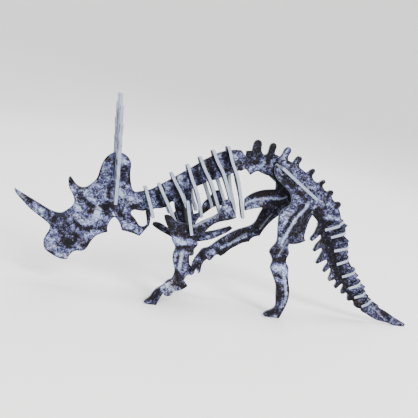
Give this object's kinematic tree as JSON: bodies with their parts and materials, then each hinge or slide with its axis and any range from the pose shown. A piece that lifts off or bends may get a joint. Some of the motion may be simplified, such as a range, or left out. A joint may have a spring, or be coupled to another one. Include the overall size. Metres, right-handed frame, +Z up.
{
  "type": "slot together dinosaur skeleton puzzle",
  "caption": "Flat printed boards half-lapped into a standing horned-dinosaur skeleton with a spiked frill, ribs, legs and tail; every cross piece slides out of its slot.",
  "frame": {"origin": "under the middle of the model, at floor level, in the mid-plane of the profile", "axes": "+X towards the tail tip, -X towards the nose horn, +Z up, -Y the animal's left side"},
  "size_m": [0.2675, 0.0436, 0.12],
  "materials": {
    "printed_board": "printed satin faces with a marbled bone pattern and bare pale ply edges"
  },
  "bodies": {
    "spine": {"front_profile": "printed_board", "rear_profile": "printed_board", "hip_bridge": "printed_board"},
    "frill": {"frill": "printed_board"},
    "neck_rib": {"neck_rib": "printed_board"},
    "rib_1": {"rib_1": "printed_board"},
    "shoulder_rib": {"shoulder_rib": "printed_board"},
    "rib_2": {"rib_2": "printed_board"},
    "rib_3": {"rib_3": "printed_board"},
    "rib_4": {"rib_4": "printed_board"},
    "rib_5": {"rib_5": "printed_board"},
    "shoulder_plate": {"shoulder_plate": "printed_board"},
    "sternum": {"sternum": "printed_board"},
    "left_fore_leg": {"left_fore_leg": "printed_board"},
    "right_fore_leg": {"right_fore_leg": "printed_board"},
    "left_hind_leg": {"left_hind_leg": "printed_board"},
    "right_hind_leg": {"right_hind_leg": "printed_board"},
    "tail_rib_1": {"tail_rib_1": "printed_board"},
    "tail_rib_2": {"tail_rib_2": "printed_board"},
    "tail_rib_3": {"tail_rib_3": "printed_board"},
    "tail_rib_4": {"tail_rib_4": "printed_board"},
    "tail_rib_5": {"tail_rib_5": "printed_board"},
    "tail_rib_6": {"tail_rib_6": "printed_board"},
    "tail_rib_7": {"tail_rib_7": "printed_board"},
    "tail_rib_8": {"tail_rib_8": "printed_board"}
  },
  "joints": [
    {"name": "frill_lift", "type": "slide", "parent": "spine", "child": "frill", "axis": [-0.1115, 0, 0.9938], "range_m": [0, 0.032]},
    {"name": "neck_rib_lift", "type": "slide", "parent": "spine", "child": "neck_rib", "axis": [-0.3875, 0, 0.9219], "range_m": [0, 0.018]},
    {"name": "rib_1_lift", "type": "slide", "parent": "spine", "child": "rib_1", "axis": [-0.5284, 0, 0.849], "range_m": [0, 0.024]},
    {"name": "shoulder_rib_lift", "type": "slide", "parent": "spine", "child": "shoulder_rib", "axis": [-0.5299, 0, 0.848], "range_m": [0, 0.016]},
    {"name": "rib_2_lift", "type": "slide", "parent": "spine", "child": "rib_2", "axis": [-0.4019, 0, 0.9157], "range_m": [0, 0.031]},
    {"name": "rib_3_lift", "type": "slide", "parent": "spine", "child": "rib_3", "axis": [-0.4679, 0, 0.8838], "range_m": [0, 0.0355]},
    {"name": "rib_4_lift", "type": "slide", "parent": "spine", "child": "rib_4", "axis": [-0.4571, 0, 0.8894], "range_m": [0, 0.0385]},
    {"name": "rib_5_lift", "type": "slide", "parent": "spine", "child": "rib_5", "axis": [-0.3518, 0, 0.9361], "range_m": [0, 0.043]},
    {"name": "shoulder_drop", "type": "slide", "parent": "spine", "child": "shoulder_plate", "axis": [0.3024, 0, -0.9532], "range_m": [0, 0.015]},
    {"name": "sternum_drop", "type": "slide", "parent": "shoulder_plate", "child": "sternum", "axis": [0.3024, 0, -0.9532], "range_m": [0, 0.006]},
    {"name": "left_fore_leg_drop", "type": "slide", "parent": "shoulder_plate", "child": "left_fore_leg", "axis": [0.3024, 0, -0.9532], "range_m": [0, 0.01]},
    {"name": "right_fore_leg_drop", "type": "slide", "parent": "shoulder_plate", "child": "right_fore_leg", "axis": [0.3024, 0, -0.9532], "range_m": [0, 0.01]},
    {"name": "left_hind_leg_draw", "type": "slide", "parent": "spine", "child": "left_hind_leg", "axis": [0.8554, 0, -0.518], "range_m": [0, 0.036]},
    {"name": "right_hind_leg_draw", "type": "slide", "parent": "spine", "child": "right_hind_leg", "axis": [0.8554, 0, -0.518], "range_m": [0, 0.036]},
    {"name": "tail_rib_1_lift", "type": "slide", "parent": "spine", "child": "tail_rib_1", "axis": [0.9063, 0, 0.4226], "range_m": [0, 0.013]},
    {"name": "tail_rib_2_lift", "type": "slide", "parent": "spine", "child": "tail_rib_2", "axis": [0.9048, 0, 0.4258], "range_m": [0, 0.0124]},
    {"name": "tail_rib_3_lift", "type": "slide", "parent": "spine", "child": "tail_rib_3", "axis": [0.9367, 0, 0.3502], "range_m": [0, 0.0118]},
    {"name": "tail_rib_4_lift", "type": "slide", "parent": "spine", "child": "tail_rib_4", "axis": [0.8886, 0, 0.4587], "range_m": [0, 0.0104]},
    {"name": "tail_rib_5_lift", "type": "slide", "parent": "spine", "child": "tail_rib_5", "axis": [0.887, 0, 0.4617], "range_m": [0, 0.0112]},
    {"name": "tail_rib_6_lift", "type": "slide", "parent": "spine", "child": "tail_rib_6", "axis": [0.878, 0, 0.4787], "range_m": [0, 0.0103]},
    {"name": "tail_rib_7_lift", "type": "slide", "parent": "spine", "child": "tail_rib_7", "axis": [0.8988, 0, 0.4384], "range_m": [0, 0.0094]},
    {"name": "tail_rib_8_lift", "type": "slide", "parent": "spine", "child": "tail_rib_8", "axis": [0.8387, 0, 0.5446], "range_m": [0, 0.0082]}
  ]
}
